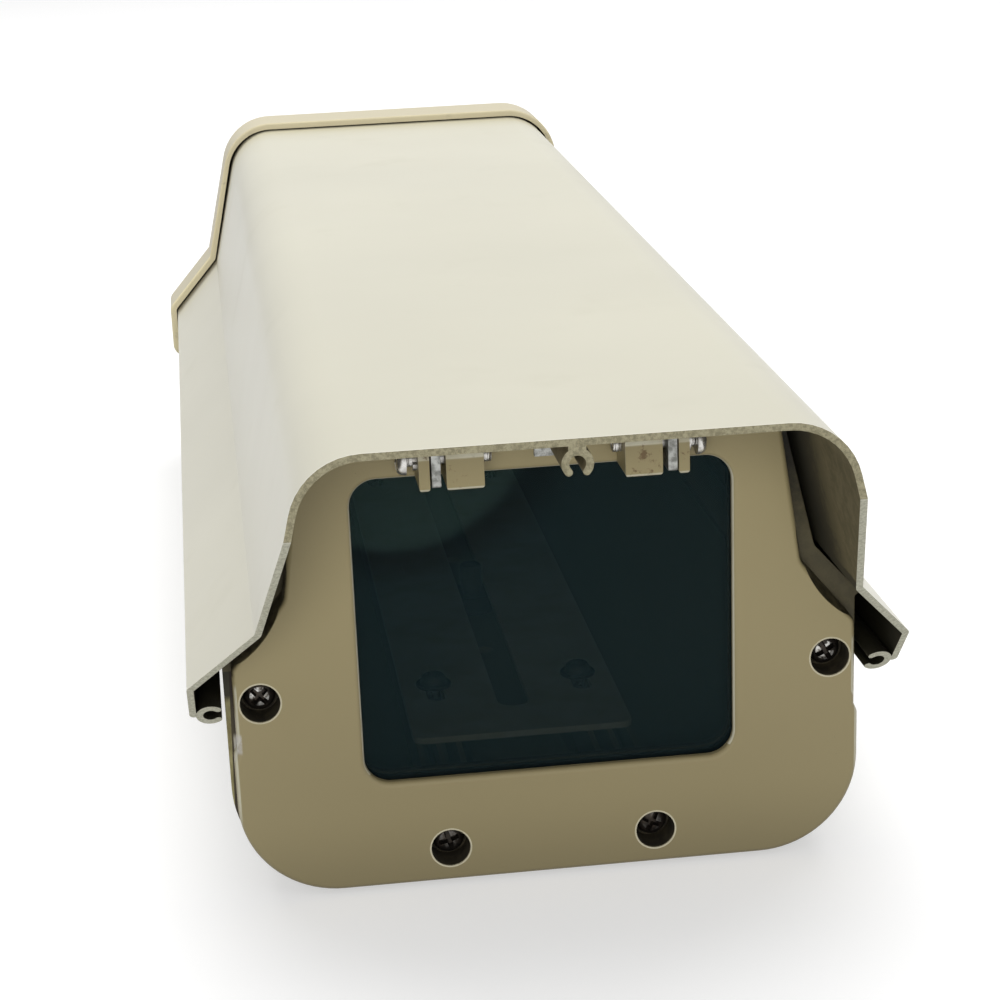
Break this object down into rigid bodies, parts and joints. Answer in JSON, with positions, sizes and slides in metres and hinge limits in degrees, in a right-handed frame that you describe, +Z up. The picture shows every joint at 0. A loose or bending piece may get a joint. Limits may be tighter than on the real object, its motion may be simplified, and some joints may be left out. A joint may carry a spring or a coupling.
{
  "type": "security camera housing",
  "caption": "Long outdoor camera housing: metal tray with a cast window front, and a hooded lid that hinges up from the rear.",
  "frame": {"origin": "midway between the two outer mounting holes, on the tray's flat underside", "axes": "+X to the right seen from the window, +Y from the window to the cable end, +Z up"},
  "size_m": [0.1636, 0.4518, 0.12],
  "materials": {
    "lid_paint": "glossy",
    "cap_paint": "satin",
    "body_paint": "satin",
    "front_paint": "satin, fine texture",
    "inner_paint": "satin",
    "window_glass": "polished",
    "rubber": "matt",
    "bare_aluminium": "brushed",
    "plated_screw": "bright plated",
    "zinc_plate": "passivated zinc",
    "lock_chrome": "polished",
    "gland_plastic": "matt",
    "brass": "bright"
  },
  "bodies": {
    "housing": {"base_tray": "body_paint", "front_plate": "front_paint", "bulkhead_plate": "inner_paint", "rear_plate": "front_paint", "window_glass": "window_glass", "glass_gasket": "rubber", "front_gasket": "rubber", "rear_gasket": "rubber", "lid_seal_left": "rubber", "lid_seal_right": "rubber", "front_plate_screws": "plated_screw", "pivot_screw_left": "plated_screw", "pivot_screw_right": "plated_screw", "rear_plate_screws": "plated_screw", "keeper_screws": "plated_screw", "sled_screws": "plated_screw", "sled_washers": "plated_screw", "lock_keeper": "zinc_plate", "earth_screw": "brass", "earth_washer": "brass", "gland_body_left": "gland_plastic", "gland_nut_left": "gland_plastic", "gland_locknut_left": "gland_plastic", "gland_seal_left": "rubber", "gland_body_centre": "gland_plastic", "gland_nut_centre": "gland_plastic", "gland_locknut_centre": "gland_plastic", "gland_seal_centre": "rubber", "gland_body_right": "gland_plastic", "gland_nut_right": "gland_plastic", "gland_locknut_right": "gland_plastic", "gland_seal_right": "rubber"},
    "lid": {"lid_shell": "lid_paint", "lid_end_cap": "cap_paint", "end_cap_screws": "plated_screw", "hinge_bracket": "bare_aluminium", "bracket_screw": "plated_screw", "lock_barrel": "lock_chrome", "lock_nut": "lock_chrome"},
    "lock": {"lock_plug": "lock_chrome", "lock_cam": "zinc_plate", "cam_screw": "plated_screw"},
    "sled": {"camera_sled": "zinc_plate"},
    "camera_screw": {"camera_screw": "plated_screw"}
  },
  "joints": [
    {"name": "lid_hinge", "type": "hinge", "parent": "housing", "child": "lid", "pos_m": [0, -0.17565, 0.1025], "axis": [1, 0, 0], "range_deg": [0, 40]},
    {"name": "lock_turn", "type": "hinge", "parent": "lid", "child": "lock", "pos_m": [0, 0.21, 0.074], "axis": [0, 1, 0], "range_deg": [0, 90]},
    {"name": "sled_slide", "type": "slide", "parent": "housing", "child": "sled", "axis": [0, 1, 0], "range_m": [-0.008, 0.008]},
    {"name": "camera_screw_slide", "type": "slide", "parent": "sled", "child": "camera_screw", "axis": [0, 1, 0], "range_m": [-0.06, 0.06]}
  ]
}
